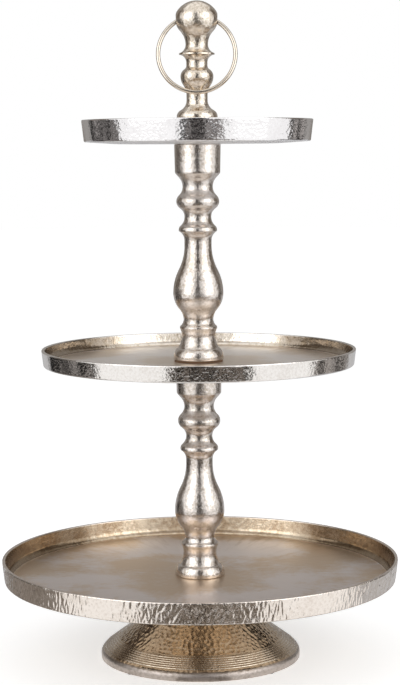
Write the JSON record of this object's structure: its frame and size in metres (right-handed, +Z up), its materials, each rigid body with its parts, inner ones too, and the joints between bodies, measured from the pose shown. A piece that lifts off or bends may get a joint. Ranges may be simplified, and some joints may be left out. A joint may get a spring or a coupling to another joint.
{
  "type": "tiered serving stand",
  "caption": "Round tiered stand of hammered cast metal: trays of falling size on a flared foot, turned posts between them, and a ball finial with a swinging ring handle.",
  "frame": {"origin": "centre of the foot on the floor", "axes": "+Z up the posts, +X to the viewer's right, -Y toward the viewer, the side the ring hangs on"},
  "size_m": [0.4697, 0.4696, 0.7737],
  "materials": {
    "tray_metal": "hammered and polished, warm nickel colour",
    "post_metal": "hammered and polished, warm nickel colour",
    "foot_metal": "hammered and polished, warm nickel colour",
    "ring_metal": "nickel plated wire",
    "steel": "zinc plated",
    "fibre": "matt fibre",
    "felt": "felt"
  },
  "bodies": {
    "stand": {"pedestal_foot": "foot_metal", "foot_pads": "felt", "foot_gasket": "fibre", "foot_bolt": "steel", "foot_washer": "steel", "foot_spring_washer": "steel", "bottom_tray": "tray_metal", "middle_tray": "tray_metal", "top_tray": "tray_metal", "lower_post": "post_metal", "upper_post": "post_metal", "seat_washer": "fibre", "middle_stud": "steel", "top_stud": "steel", "finial": "post_metal"},
    "ring": {"ring_handle": "ring_metal"}
  },
  "joints": [
    {"name": "ring_swing", "type": "hinge", "parent": "stand", "child": "ring", "pos_m": [0, 0, 0.752], "axis": [-1, 0, 0], "range_deg": [0, 339]}
  ]
}
